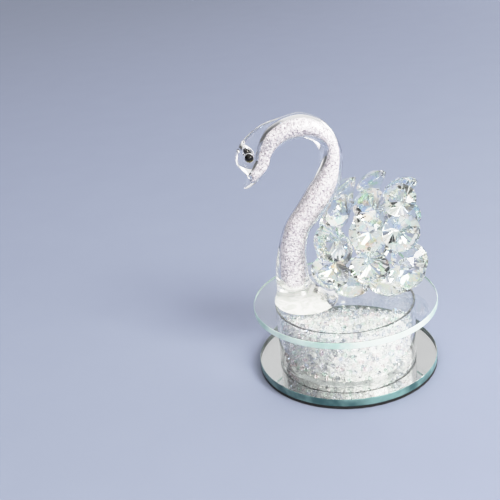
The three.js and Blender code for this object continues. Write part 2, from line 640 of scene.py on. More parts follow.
def mesh_of(bm: bmesh.types.BMesh, name: str, crease: float | None = None) -> bpy.types.Mesh:
    """Turns a bmesh into a mesh and frees it.

    Args:
        bm: the shape.
        name: the mesh's name.
        crease: angle past which an edge stays sharp, or None for flat faces.

    Returns:
        The mesh.
    """
    mesh = bpy.data.meshes.new(name)
    bm.to_mesh(mesh)
    bm.free()
    if crease is not None:
        mesh.shade_smooth()
        mesh.set_sharp_from_angle(angle=crease)
    return mesh


def lathe(
    profile: Sequence[tuple[float, float]], closed: bool = False, steps: int = 160
) -> bmesh.types.BMesh:
    """Spins a profile round the Z axis.

    Args:
        profile: points of radius and height.
        closed: True where the last point joins the first, as round the wall of a tube.
        steps: faces in one turn.

    Returns:
        The closed shape, its faces outwards.
    """
    bm = bmesh.new()
    verts = [bm.verts.new((radius, 0.0, height)) for radius, height in profile]
    ends = zip(verts, verts[1:] + verts[:1]) if closed else zip(verts, verts[1:])
    edges = [bm.edges.new(pair) for pair in ends]
    bmesh.ops.spin(
        bm,
        geom=verts + edges,
        cent=(0.0, 0.0, 0.0),
        axis=Axis.Z.value,
        angle=math.tau,
        steps=steps,
        use_merge=True,
        use_duplicate=False,
    )
    bmesh.ops.remove_doubles(bm, verts=bm.verts, dist=WELD)
    bmesh.ops.recalc_face_normals(bm, faces=bm.faces)
    return bm


def ease_edges(
    bm: bmesh.types.BMesh, width: float, past: float = math.radians(50), segments: int = 3
) -> None:
    """Rounds a shape's sharp edges.

    Args:
        bm: the shape.
        width: how far the rounding reaches.
        past: the angle between faces past which an edge is sharp.
        segments: faces across the rounding.
    """
    sharp = [e for e in bm.edges if len(e.link_faces) == 2 and e.calc_face_angle() > past]
    bmesh.ops.bevel(
        bm, geom=sharp, offset=width, affect="EDGES", segments=segments, profile=0.5, material=-1
    )


def keep_apart(points: np.ndarray, spacing: float) -> list[int]:
    """Picks points one after another, and leaves out each that is too near one already picked.

    Args:
        points: the places to pick from.
        spacing: the least distance between two picked points.

    Returns:
        The numbers of the picked points.
    """
    cells: dict[tuple[int, int, int], list[int]] = {}
    picked = []
    around = [(i, j, k) for i in (-1, 0, 1) for j in (-1, 0, 1) for k in (-1, 0, 1)]
    for number, (x, y, z) in enumerate(points.tolist()):
        i, j, k = (math.floor(v / spacing) for v in (x, y, z))
        near = (n for a, b, c in around for n in cells.get((i + a, j + b, k + c), ()))
        if all(math.dist((x, y, z), points[n]) >= spacing for n in near):
            cells.setdefault((i, j, k), []).append(number)
            picked.append(number)
    return picked


@dataclass
class ChipHeap:
    """Hundreds of tiny cut chips, each turned its own way.

    Attributes:
        name: the piece's name.
        width: width of a chip at its girdle.
        spread: how much the widths differ, as a share.
        tints: the painted tints that chips take, standing in for split light and reflected dark, most of them
            clear.
        sides: facets round a chip.
        table: width of the flat top, as a share of the girdle.
        crown: height above the girdle, as a share of the width.
        pavilion: depth below it, as a share of the width.
    """

    name: str
    width: float
    spread: float = 0.18
    tints: Sequence[str] = ("#FFFFFF", "#FFFFFF", "#FFFFFF", "#F3F6FF", "#FFF1F4", "#EFFFF8", "#D9DCE2")
    sides: int = 8
    table: float = 0.56
    crown: float = 0.17
    pavilion: float = 0.43

    def chip(self) -> bmesh.types.BMesh:
        """Cuts one chip of unit width: a bevelled top over a pointed cone.

        Returns:
            The chip.
        """
        bm = bmesh.new()
        bmesh.ops.create_cone(
            bm, cap_ends=True, segments=self.sides, radius1=0.5, radius2=0.5 * self.table, depth=self.crown
        )
        under = min(bm.faces, key=lambda face: face.normal.z)
        bmesh.ops.poke(bm, faces=[under], offset=self.pavilion, center_mode="MEAN", use_relative_offset=False)
        bmesh.ops.recalc_face_normals(bm, faces=bm.faces)
        return bm

    def heap(self, places: np.ndarray, draw: np.random.Generator) -> bpy.types.Mesh:
        """Puts a turned copy of the chip at each place.

        Args:
            places: the chips' middles.
            draw: the source of chance.

        Returns:
            One mesh of all the chips, with each chip's painted tint in the attribute "fire".
        """
        one = mesh_of(self.chip(), "one_chip")
        corners = np.array([v.co for v in one.vertices])
        faces = [tuple(p.vertices) for p in one.polygons]
        spins = draw.normal(size=(len(places), 4))
        spins /= np.linalg.norm(spins, axis=1, keepdims=True)
        w, x, y, z = spins.T
        turns = np.array(
            [
                [1 - 2 * (y * y + z * z), 2 * (x * y - w * z), 2 * (x * z + w * y)],
                [2 * (x * y + w * z), 1 - 2 * (x * x + z * z), 2 * (y * z - w * x)],
                [2 * (x * z - w * y), 2 * (y * z + w * x), 1 - 2 * (x * x + y * y)],
            ]
        ).transpose(2, 0, 1)
        sizes = self.width * draw.uniform(1 - self.spread, 1 + self.spread, len(places))
        copies = np.einsum("nij,vj->nvi", turns * sizes[:, None, None], corners) + places[:, None, :]
        count = len(corners)
        rings = [tuple(c + n * count for c in face) for n in range(len(places)) for face in faces]
        mesh = bpy.data.meshes.new(self.name)
        mesh.from_pydata(copies.reshape(-1, 3).tolist(), [], rings)
        # Each chip gets a painted tint, standing in for split light and reflected dark
        palette = np.array([linear(tint) for tint in self.tints])
        shades = np.repeat(palette[draw.integers(0, len(palette), len(places))], count, axis=0)
        fire = mesh.attributes.new("fire", "FLOAT_COLOR", "POINT")
        fire.data.foreach_set("color", shades.astype(np.float32).ravel())
        bpy.data.meshes.remove(one)
        return mesh


@dataclass
class RoundStack:
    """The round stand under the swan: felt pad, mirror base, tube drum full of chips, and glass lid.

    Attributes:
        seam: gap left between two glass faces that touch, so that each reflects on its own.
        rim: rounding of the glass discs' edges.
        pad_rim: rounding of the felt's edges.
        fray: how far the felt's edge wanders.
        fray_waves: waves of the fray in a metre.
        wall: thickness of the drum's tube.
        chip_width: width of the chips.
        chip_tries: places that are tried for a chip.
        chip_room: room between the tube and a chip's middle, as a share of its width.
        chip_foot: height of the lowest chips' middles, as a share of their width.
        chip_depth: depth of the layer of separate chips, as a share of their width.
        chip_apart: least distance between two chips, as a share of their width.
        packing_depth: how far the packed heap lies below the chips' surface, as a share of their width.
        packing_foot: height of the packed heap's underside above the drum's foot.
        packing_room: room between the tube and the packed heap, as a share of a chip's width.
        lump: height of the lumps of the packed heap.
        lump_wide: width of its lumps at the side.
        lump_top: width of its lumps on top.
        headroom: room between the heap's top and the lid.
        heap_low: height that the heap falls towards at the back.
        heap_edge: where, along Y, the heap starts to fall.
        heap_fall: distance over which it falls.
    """

    seam: float = 0.04 * MM
    rim: float = 0.4 * MM
    pad_rim: float = 0.3 * MM
    fray: float = 0.15 * MM
    fray_waves: float = 900.0
    wall: float = 1.1 * MM
    chip_width: float = 2.5 * MM
    chip_tries: int = 60000
    chip_room: float = 0.66
    chip_foot: float = 0.45
    chip_depth: float = 0.8
    chip_apart: float = 0.74
    packing_depth: float = 1.15
    packing_foot: float = 0.1 * MM
    packing_room: float = 1.25
    lump: float = 0.6 * MM
    lump_wide: float = 2.2 * MM
    lump_top: float = 1.9 * MM
    headroom: float = 1.4 * MM
    heap_low: float = 9.0 * MM
    heap_edge: float = -8.0 * MM
    heap_fall: float = 14.0 * MM

    def __post_init__(self) -> None:
        """Takes the discs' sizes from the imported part."""
        self.boxes = {name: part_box(name) for name in ("felt_pad", "mirror_base", "crystal_drum", "lid_disc")}
        self.heap_top = self.levels("lid_disc")[1] - self.headroom

    def levels(self, node: str) -> tuple[float, float, float]:
        """The radius, foot and top of a round CAD node."""
        low, high = self.boxes[node]
        return (high.x - low.x) / 2, low.z, high.z

    def heap_height(self, y: float) -> float:
        """Height of the chips' surface at y: full in front, sliding towards the back."""
        slope = math.exp(-max(y - self.heap_edge, 0.0) / self.heap_fall)
        return self.heap_low + (self.heap_top - self.heap_low) * slope

    def disc(self, node: str) -> bmesh.types.BMesh:
        """Turns a plain disc of a CAD node's size, less the seam under it.

        Args:
            node: the round CAD node.

        Returns:
            The disc, its rims rounded and its edge numbered as the second finish.
        """
        radius, foot, top = self.levels(node)
        low = foot + self.seam
        bm = lathe([(0.0, low), (radius, low), (radius, top), (0.0, top)])
        ease_edges(bm, self.rim)
        for face in bm.faces:
            face.material_index = int(abs(face.normal.z) < LEVEL)
        return bm

    def pad(self) -> bpy.types.Object:
        """Cuts the felt pad, a little frayed at its edge.

        Returns:
            The pad.
        """
        radius, foot, top = self.levels("felt_pad")
        inside, edge = 0.9 * radius, 0.95 * radius
        bm = lathe([(0.0, foot), (inside, foot), (radius, foot), (radius, top), (inside, top), (0.0, top)])
        ease_edges(bm, self.pad_rim)
        for vert in bm.verts:
            if math.hypot(vert.co.x, vert.co.y) > edge:
                shift = noise.noise(vert.co * self.fray_waves) * self.fray
                vert.co.x *= 1 + (shift - self.fray) / radius
                vert.co.y *= 1 + (shift - self.fray) / radius
        mesh = mesh_of(bm, "felt_pad_cut", crease=math.radians(40))
        return tie(mesh, [FELT], ["felt_pad"])

    def mirror(self) -> bpy.types.Object:
        """Grinds the mirror base: thick float glass, silvered on its underside.

        Returns:
            The base.
        """
        bm = self.disc("mirror_base")
        foot = self.levels("mirror_base")[1] + self.seam
        for face in bm.faces:
            if face.normal.z < -LEVEL and face.calc_center_median().z < foot + HAIR:
                face.material_index = 2
        mesh = mesh_of(bm, "mirror_glass", RIM_CREASE)
        return tie(mesh, [FLOAT_GLASS, BASE_EDGE, SILVERING], ["mirror_base"])

    def lid(self) -> bpy.types.Object:
        """Grinds the lid, a disc of clear float glass.

        Returns:
            The lid.
        """
        mesh = mesh_of(self.disc("lid_disc"), "lid_glass", RIM_CREASE)
        return tie(mesh, [FLOAT_GLASS, LID_EDGE], ["lid_disc"], shade=False)

    def drum(self) -> bpy.types.Object:
        """Cuts the drum's tube.

        Returns:
            The tube.
        """
        radius, foot, top = self.levels("crystal_drum")
        low, high = foot + self.seam, top - self.seam
        inner = radius - self.wall
        bm = lathe([(inner, low), (radius, low), (radius, high), (inner, high)], closed=True)
        ease_edges(bm, self.rim)
        mesh = mesh_of(bm, "drum_tube", RIM_CREASE)
        return tie(mesh, [DRUM_GLASS], ["crystal_drum"], shade=False)

    def chips(self, draw: np.random.Generator) -> bpy.types.Object:
        """Fills the drum's sides and top with separate chips.

        Args:
            draw: the source of chance.

        Returns:
            The chips, as one piece.
        """
        radius, foot, _ = self.levels("crystal_drum")
        reach = radius - self.wall - self.chip_room * self.chip_width
        depth = self.chip_depth * self.chip_width
        spread = reach * np.sqrt(draw.uniform(0.0, 1.0, self.chip_tries))
        around = draw.uniform(0.0, math.tau, self.chip_tries)
        x, y = spread * np.cos(around), spread * np.sin(around)
        tops = np.array([self.heap_height(v) for v in y]) - self.chip_width / 2
        low = foot + self.chip_foot * self.chip_width
        z = low + draw.uniform(0.0, 1.0, self.chip_tries) * (tops - low)
        shown = (spread > reach - depth) | (z > tops - depth)
        places = np.column_stack((x, y, z))[shown]
        picked = places[keep_apart(places, self.chip_apart * self.chip_width)]
        mesh = ChipHeap("drum_chips", self.chip_width).heap(picked, draw)
        return tie(mesh, [CHIP_CRYSTAL], shade=False)

    def packing(self) -> bpy.types.Object:
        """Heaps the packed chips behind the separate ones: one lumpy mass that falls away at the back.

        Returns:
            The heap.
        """
        radius, foot, _ = self.levels("crystal_drum")
        depth = self.packing_depth * self.chip_width
        reach = radius - self.wall - self.packing_room * self.chip_width
        rings, rows = 16, 14
        profile = [(reach * i / rings, 0.0) for i in range(rings + 1)]
        profile += [(reach, j / rows) for j in range(1, rows + 1)]
        profile += [(reach * i / rings, 1.0) for i in range(rings - 1, -1, -1)]
        bm = lathe(profile, steps=96)
        low = foot + self.packing_foot
        for vert in bm.verts:
            share = vert.co.z
            top = self.heap_height(vert.co.y) - depth
            vert.co.z = low + share * (top - low)
            if share > 0:
                push = noise.noise(vert.co / self.lump_wide) * self.lump
                vert.co += Vector((vert.co.x, vert.co.y, 0.0)).normalized() * push
                vert.co.z += share * noise.noise(vert.co / self.lump_top) * self.lump
        # The underside faces take the strong painted glow
        for face in bm.faces:
            face.material_index = int(max(v.co.z for v in face.verts) < low + HAIR)
        mesh = mesh_of(bm, "drum_packing", crease=math.radians(70))
        return tie(mesh, [PACKED_CHIPS, CHIPS_PAINTED_GLOW_BELOW])

    def build(self, draw: np.random.Generator) -> None:
        """Builds the stand from the floor up.

        Args:
            draw: the source of chance.
        """
        self.pad()
        self.mirror()
        self.drum()
        self.packing()
        self.chips(draw)
        self.lid()


@dataclass(frozen=True)
class Station:
    """One oval section of the swan, between a point of its front rail and one of its back rail.

    Attributes:
        front: X and Z on the breast, throat or chin.
        back: X and Z on the nape, crown or bill.
        half: half the width across the body.
        core_middle: where the filling's middle lies, from 0 at the front rail to 1 at the back one.
        core_share: the filling's size, as a share of the section's.
    """

    front: tuple[float, float]
    back: tuple[float, float]
    half: float
    core_middle: float = 0.45
    core_share: float = 0.66


# From the foot up the breast and the neck, over the arch, and down the head to the tip of the bill
SWAN_STATIONS = (
    Station((-0.031, 0.03205), (-0.0025, 0.03205), 0.0154),
    Station((-0.0307, 0.0334), (-0.0042, 0.0334), 0.0142),
    Station((-0.0298, 0.036), (-0.0096, 0.036), 0.0108, 0.5, 0.5),
    Station((-0.0294, 0.0395), (-0.0134, 0.0395), 0.0084, 0.51, 0.66),
    Station((-0.0293, 0.044), (-0.0149, 0.044), 0.0073, 0.52, 0.82),
    Station((-0.0288, 0.05), (-0.0153, 0.05), 0.0068, 0.53, 0.87),
    Station((-0.027, 0.058), (-0.015, 0.0564), 0.0061, 0.5, 0.92),
    Station((-0.0234, 0.0684), (-0.0128, 0.0648), 0.0057, 0.485, 0.92),
    Station((-0.0176, 0.077), (-0.0083, 0.0707), 0.0057, 0.485, 0.92),
    Station((-0.0132, 0.0836), (-0.0034, 0.077), 0.0058, 0.485, 0.9),
    Station((-0.009, 0.0896), (0.0006, 0.084), 0.0054, 0.48, 0.83),
    Station((-0.0069, 0.095), (0.0026, 0.093), 0.0048, 0.52, 0.67),
    Station((-0.0069, 0.1008), (0.0016, 0.1032), 0.0046, 0.63, 0.56),
    Station((-0.0093, 0.1048), (-0.0042, 0.1126), 0.0049, 0.54, 0.67),
    Station((-0.0132, 0.1062), (-0.0134, 0.1169), 0.0053, 0.45, 0.72),
    Station((-0.0192, 0.1052), (-0.0218, 0.1154), 0.0053, 0.46, 0.7),
    Station((-0.024, 0.1022), (-0.0296, 0.113), 0.0054, 0.38, 0.62),
    Station((-0.0268, 0.0988), (-0.037, 0.1078), 0.0054, 0.27, 0.46),
    Station((-0.0276, 0.0958), (-0.0412, 0.102), 0.0051, 0.22, 0.39),
    Station((-0.0292, 0.0931), (-0.0415, 0.0972), 0.0044, 0.26, 0.42),
    Station((-0.0313, 0.0906), (-0.0392, 0.094), 0.0033, 0.37, 0.54),
    Station((-0.0336, 0.0885), (-0.0375, 0.0916), 0.0023, 0.38, 0.42),
    Station((-0.036, 0.0867), (-0.0382, 0.089), 0.0017, 0.5, 0.4),
    Station((-0.0385, 0.0855), (-0.0397, 0.087), 0.0009, 0.5, 0.3),
)


def through(points: np.ndarray, along: float) -> np.ndarray:
    """Finds a point on the smooth curve through a row of points.

    Args:
        points: the row, one point to a line.
        along: how far along, from 0 at the first point to 1 at the last.

    Returns:
        The point, on a centripetal spline.
    """
    last = len(points) - 1
    place = min(max(along, 0.0), 1.0) * last
    index = min(int(place), last - 1)
    share = place - index
    p1, p2 = points[index], points[index + 1]
    p0 = points[index - 1] if index > 0 else 2 * p1 - p2
    p3 = points[index + 2] if index + 2 <= last else 2 * p2 - p1
    d0, d1, d2 = (max(math.sqrt(np.linalg.norm(b - a)), 1e-6) for a, b in ((p0, p1), (p1, p2), (p2, p3)))
    out = ((p1 - p0) / d0 - (p2 - p0) / (d0 + d1) + (p2 - p1) / d1) * d1
    back = ((p2 - p1) / d1 - (p3 - p1) / (d1 + d2) + (p3 - p2) / d2) * d1
    cube = 2 * p1 - 2 * p2 + out + back
    square = -3 * p1 + 3 * p2 - 2 * out - back
    return ((cube * share + square) * share + out) * share + p1


@dataclass
class Swan:
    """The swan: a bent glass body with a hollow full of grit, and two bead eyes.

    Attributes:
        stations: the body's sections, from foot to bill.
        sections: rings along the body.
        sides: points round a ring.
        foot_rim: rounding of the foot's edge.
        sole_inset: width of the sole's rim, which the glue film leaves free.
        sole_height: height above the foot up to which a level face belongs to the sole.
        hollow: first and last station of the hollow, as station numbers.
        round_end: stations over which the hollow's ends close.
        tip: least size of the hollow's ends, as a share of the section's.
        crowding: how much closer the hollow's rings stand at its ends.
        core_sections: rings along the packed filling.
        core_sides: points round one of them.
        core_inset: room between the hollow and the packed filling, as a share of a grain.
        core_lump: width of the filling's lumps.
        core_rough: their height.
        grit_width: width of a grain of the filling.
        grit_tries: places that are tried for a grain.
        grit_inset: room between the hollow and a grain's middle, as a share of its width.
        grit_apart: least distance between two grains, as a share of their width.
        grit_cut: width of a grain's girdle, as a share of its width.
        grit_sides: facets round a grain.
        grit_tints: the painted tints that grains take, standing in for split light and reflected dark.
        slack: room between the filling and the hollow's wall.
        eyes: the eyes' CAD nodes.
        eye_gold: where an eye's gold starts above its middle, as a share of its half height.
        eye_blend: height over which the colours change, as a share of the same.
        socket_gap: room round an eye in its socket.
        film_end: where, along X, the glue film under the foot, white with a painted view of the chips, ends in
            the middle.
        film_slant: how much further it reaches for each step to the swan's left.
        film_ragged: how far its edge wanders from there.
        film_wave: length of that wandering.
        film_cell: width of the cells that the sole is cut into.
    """

    stations: tuple[Station, ...] = SWAN_STATIONS
    sections: int = 150
    sides: int = 40
    foot_rim: float = 0.25 * MM
    sole_inset: float = 0.4 * MM
    sole_height: float = 0.1 * MM
    hollow: tuple[float, float] = (2.4, 21.6)
    round_end: float = 1.1
    tip: float = 0.02
    crowding: float = 0.3
    core_sections: int = 260
    core_sides: int = 48
    core_inset: float = 0.36
    core_lump: float = 0.7 * MM
    core_rough: float = 0.12 * MM
    grit_width: float = 0.8 * MM
    grit_tries: int = 26000
    grit_inset: float = 0.42
    grit_apart: float = 0.8
    grit_cut: float = 0.8
    grit_sides: int = 5
    grit_tints: tuple[str, ...] = ("#FFFFFF", "#FFF4F6", "#F4F2FA", "#C9C6CE")
    slack: float = 0.08 * MM
    eyes: tuple[str, str] = ("left_eye", "right_eye")
    eye_gold: float = 0.05
    eye_blend: float = 0.6
    socket_gap: float = 0.2 * MM
    film_end: float = -13.0 * MM
    film_slant: float = 0.75
    film_ragged: float = 4.0 * MM
    film_wave: float = 4.0 * MM
    film_cell: float = 0.7 * MM

    def __post_init__(self) -> None:
        """Lays the rails out for the spline."""
        self.fronts = np.array([s.front for s in self.stations])
        self.backs = np.array([s.back for s in self.stations])
        self.halves = np.array([(i * MM, s.half) for i, s in enumerate(self.stations)])
        self.cores = np.array([(s.core_middle, s.core_share) for s in self.stations])
        self.last = len(self.stations) - 1

    def ring(self, along: float) -> tuple[Vector, Vector, Vector]:
        """Finds one oval section of the body.

        Args:
            along: the share of the body's length.

        Returns:
            The section's middle and its reach back and across.
        """
        front, back = through(self.fronts, along), through(self.backs, along)
        x, z = (front + back) / 2
        reach_x, reach_z = (back - front) / 2
        half = through(self.halves, along)[1]
        return Vector((x, 0.0, z)), Vector((reach_x, 0.0, reach_z)), Vector((0.0, half, 0.0))

    def core_ring(self, along: float, shrink: float = 0.0) -> tuple[Vector, Vector, Vector]:
        """Finds one oval section of the hollow.

        Args:
            along: the share of the body's length.
            shrink: how much smaller the ring is made all round.

        Returns:
            The ring's middle and its reach back and across.
        """
        middle, reach, across = self.ring(along)
        place = along * self.last
        index = min(int(place), self.last - 1)
        aim, share = self.cores[index] + (self.cores[index + 1] - self.cores[index]) * (place - index)
        first, final = self.hollow
        end = min((place - first) / self.round_end, (final - place) / self.round_end, 1.0)
        share *= math.sqrt(max(end * (2 - end), self.tip**2))
        least = self.tip / 2
        deep = max(share - shrink / reach.length, least)
        wide = max(share - shrink / across.length, least)
        return middle + reach * (2 * aim - 1), reach * deep, across * wide

    def loft(self, rings: Sequence[tuple[Vector, Vector, Vector]], sides: int) -> bmesh.types.BMesh:
        """Bridges a row of oval rings into one closed body.

        Args:
            rings: each ring's middle and its reach back and across.
            sides: points round a ring.

        Returns:
            The body, its faces outwards.
        """
        bm = bmesh.new()
        before: list[bmesh.types.BMEdge] = []
        for number, (middle, reach, across) in enumerate(rings):
            up = reach.cross(across).normalized()
            matrix = Matrix((reach, across, up)).transposed().to_4x4()
            matrix.translation = middle
            made = bmesh.ops.create_circle(
                bm, cap_ends=number in (0, len(rings) - 1), segments=sides, radius=1.0, matrix=matrix
            )
            edges = list({e for v in made["verts"] for e in v.link_edges})
            if before:
                bmesh.ops.bridge_loops(bm, edges=before + edges)
            before = edges
        bmesh.ops.recalc_face_normals(bm, faces=bm.faces)
        return bm

    def core_steps(self, count: int) -> list[float]:
        """Spaces rings from one end of the hollow to the other, closer at its ends.

        Args:
            count: steps between rings.

        Returns:
            Each ring's share of the body's length.
        """
        first, final = (v / self.last for v in self.hollow)
        even = 1 - self.crowding
        steps = (0.5 - 0.5 * math.cos(math.pi * i / count) for i in range(count + 1))
        return [first + (final - first) * (self.crowding * s + even * i / count) for i, s in enumerate(steps)]

    def glass(self) -> bpy.types.Object:
        """Draws the glass body, with its hollow.

        Returns:
            The body.
        """
        bm = self.loft([self.ring(i / self.sections) for i in range(self.sections + 1)], self.sides)
        ease_edges(bm, self.foot_rim, past=math.radians(60))
        sole = min(bm.faces, key=lambda face: face.calc_center_median().z)
        bmesh.ops.inset_individual(bm, faces=[sole], thickness=self.sole_inset)
        self.spread_film(bm)
        inner = self.loft([self.core_ring(a) for a in self.core_steps(self.sections)], self.sides)
        bmesh.ops.reverse_faces(inner, faces=inner.faces)
        hollow = mesh_of(inner, "hollow")
        bm.from_mesh(hollow)
        bpy.data.meshes.remove(hollow)
        mesh = self.sink_sockets(mesh_of(bm, "swan_glass"))
        mesh.shade_smooth()
        mesh.set_sharp_from_angle(angle=math.radians(50))
        return tie(mesh, [TUBE_GLASS, GLUE_FILM_PAINTED_VIEW_AND_GLOW], ["swan_body"], shade=False)

    def sole(self, bm: bmesh.types.BMesh) -> list[bmesh.types.BMFace]:
        """The faces that stand on the lid."""
        top = self.stations[0].front[1] + self.sole_height
        return [f for f in bm.faces if f.normal.z < -LEVEL and f.calc_center_median().z < top]

    def spread_film(self, bm: bmesh.types.BMesh) -> None:
        """Cuts the sole into small cells and numbers those under the glue film as the second finish.

        Args:
            bm: the body.
        """
        foot = self.stations[0]
        for axis, first, last in ((Axis.X, foot.front[0], foot.back[0]), (Axis.Y, -foot.half, foot.half)):
            for step in np.arange(first, last, self.film_cell):
                faces = self.sole(bm)
                edges = {e for f in faces for e in f.edges}
                verts = {v for f in faces for v in f.verts}
                bmesh.ops.bisect_plane(
                    bm,
                    geom=[*verts, *edges, *faces],
                    plane_co=Vector(axis.value) * float(step),
                    plane_no=axis.value,
                )
        # The film's cells take the painted view of the chips and the painted glow
        for face in self.sole(bm):
            place = face.calc_center_median()
            wander = self.film_ragged * noise.noise(place / self.film_wave)
            face.material_index = int(place.x < self.film_end - self.film_slant * place.y + wander)

    def sink_sockets(self, mesh: bpy.types.Mesh) -> bpy.types.Mesh:
        """Cuts the two eye sockets out of the glass.

        Args:
            mesh: the glass without sockets.

        Returns:
            The glass with them.
        """
        cut = bmesh.new()
        for node in self.eyes:
            low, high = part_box(node)
            radius = (high.x - low.x) / 2 + self.socket_gap
            made = bmesh.ops.create_icosphere(cut, subdivisions=4, radius=radius)
            bmesh.ops.translate(cut, vec=(low + high) / 2, verts=made["verts"])
        cutter = bpy.data.objects.new("socket_cutter", mesh_of(cut, "socket_cutter"))
        blank = bpy.data.objects.new("glass_blank", mesh)
        for thing in (cutter, blank):
            bpy.context.scene.collection.objects.link(thing)
        cutting = blank.modifiers.new("sockets", "BOOLEAN")
        cutting.operation = "DIFFERENCE"
        cutting.solver = "EXACT"
        cutting.object = cutter
        sunk = bpy.data.meshes.new_from_object(blank.evaluated_get(bpy.context.evaluated_depsgraph_get()))
        for thing in (cutter, blank):
            old = thing.data
            bpy.data.objects.remove(thing)
            bpy.data.meshes.remove(old)
        sunk.name = "swan_glass"
        return sunk

    def core(self) -> bpy.types.Object:
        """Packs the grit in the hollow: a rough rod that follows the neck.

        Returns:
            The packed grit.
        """
        shrink = self.slack + self.core_inset * self.grit_width
        rings = [self.core_ring(a, shrink) for a in self.core_steps(self.core_sections)]
        bm = self.loft(rings, self.core_sides)
        bm.normal_update()
        for vert in bm.verts:
            vert.co += vert.normal * noise.noise(vert.co / self.core_lump) * self.core_rough
        mesh = mesh_of(bm, "neck_packing", crease=math.radians(75))
        return tie(mesh, [PACKED_GRIT])

    def grit(self, draw: np.random.Generator) -> bpy.types.Object:
        """Scatters separate grains between the packing and the hollow's wall.

        Args:
            draw: the source of chance.

        Returns:
            The grains, as one piece.
        """
        steps = draw.uniform(0.0, 1.0, self.grit_tries)
        turns = draw.uniform(0.0, math.tau, self.grit_tries)
        first, final = (v / self.last for v in self.hollow)
        shrink = self.slack + self.grit_inset * self.grit_width
        spots = []
        for step, turn in zip(steps, turns):
            middle, reach, across = self.core_ring(first + (final - first) * step, shrink)
            spots.append(middle + reach * math.cos(turn) + across * math.sin(turn))
        places = np.array(spots)
        picked = places[keep_apart(places, self.grit_apart * self.grit_width)]
        grains = ChipHeap(
            "neck_grit", self.grit_width * self.grit_cut, tints=self.grit_tints, sides=self.grit_sides
        )
        return tie(grains.heap(picked, draw), [CHIP_CRYSTAL], shade=False)

    def eye(self, node: str) -> bpy.types.Object:
        """Moulds a bead eye where its CAD node is: a domed button, fuller in the middle.

        Args:
            node: the eye's CAD node.

        Returns:
            The bead.
        """
        low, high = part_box(node)
        middle = (low + high) / 2
        size = (high - low) / 2
        bm = bmesh.new()
        bmesh.ops.create_uvsphere(bm, u_segments=32, v_segments=20, radius=1.0)
        bmesh.ops.rotate(bm, verts=bm.verts, matrix=Matrix.Rotation(math.pi / 2, 3, "X"))
        bmesh.ops.scale(bm, vec=size, verts=bm.verts)
        bmesh.ops.translate(bm, vec=middle, verts=bm.verts)
        finish = BeadFinish(middle=middle.z + self.eye_gold * size.z, reach=self.eye_blend * size.z)
        return tie(mesh_of(bm, f"{node}_bead", math.pi), [finish], [node])

    def build(self, draw: np.random.Generator) -> None:
        """Builds the swan from its glass inwards.

        Args:
            draw: the source of chance.
        """
        self.glass()
        self.core()
        self.grit(draw)
        for node in self.eyes:
            self.eye(node)


@dataclass
class Wings:
    """The cut crystals of both wings and of the keel, which keep their CAD facets, and their glue.

    Attributes:
        marks: what the crystals' node names hold.
        glue_reach: distance of two crystals' nearest corners up to which a drop of glue joins them.
        drop: radius of a drop.
    """

    marks: tuple[str, str] = ("wing_crystal", "keel_crystal")
    glue_reach: float = 2.6 * MM
    drop: float = 0.85 * MM

    def __post_init__(self) -> None:
        """Finds the crystals among the CAD nodes."""
        nodes = frame["nodes"]
        names = [name for name in sorted(nodes) if any(mark in name for mark in self.marks)]
        self.crystals = {name: nodes[name] for name in names}

    def corners(self, name: str) -> np.ndarray:
        """The corners of a crystal, one to a line."""
        crystal = self.crystals[name]
        return np.array([crystal.matrix_world @ vert.co for vert in crystal.data.vertices])

    def dress(self) -> None:
        """Gives every crystal its finish."""
        for name, crystal in self.crystals.items():
            crystal.data.materials.clear()
            crystal.data.materials.append(CUT_CRYSTAL.material())
            LOG.info("%s: cut crystal", name)

    def glue(self) -> bpy.types.Object:
        """Sets a drop of glue wherever two crystals come close.

        Returns:
            The drops, as one piece.
        """
        bm = bmesh.new()
        for one, other in combinations(self.crystals, 2):
            first, second = self.corners(one), self.corners(other)
            gaps = np.linalg.norm(first[:, None, :] - second[None, :, :], axis=2)
            i, j = np.unravel_index(gaps.argmin(), gaps.shape)
            if gaps[i, j] < self.glue_reach:
                made = bmesh.ops.create_icosphere(bm, subdivisions=2, radius=self.drop)
                bmesh.ops.translate(bm, vec=Vector((first[i] + second[j]) / 2), verts=made["verts"])
        return tie(mesh_of(bm, "glue_drops", math.pi), [GLUE_DROP])

    def build(self) -> None:
        """Dresses the crystals and glues them."""
        self.dress()
        self.glue()


@dataclass(frozen=True)
class Softbox:
    """A square lamp with an even face.

    Attributes:
        name: what it does.
        place: where it stands.
        aim: the point that it faces.
        side: its width.
        glow: brightness of its face.
        colour: its colour.
        sparkles: False where the glass doesn't show its face.
    """

    name: str
    place: tuple[float, float, float]
    aim: tuple[float, float, float]
    side: float
    glow: float
    colour: str = "#FFFBF4"
    sparkles: bool = True

    def build(self) -> None:
        """Hangs the lamp."""
        data = bpy.data.lights.new(self.name, "AREA")
        data.shape = "SQUARE"
        data.size = self.side
        data.energy = self.glow * math.pi * self.side**2
        data.color = linear(self.colour)[:3]
        lamp = bpy.data.objects.new(self.name, data)
        lamp.location = self.place
        lamp.rotation_euler = (Vector(self.aim) - Vector(self.place)).to_track_quat("-Z", "Y").to_euler()
        lamp.visible_camera = False
        lamp.visible_transmission = self.sparkles
        bpy.context.scene.collection.objects.link(lamp)


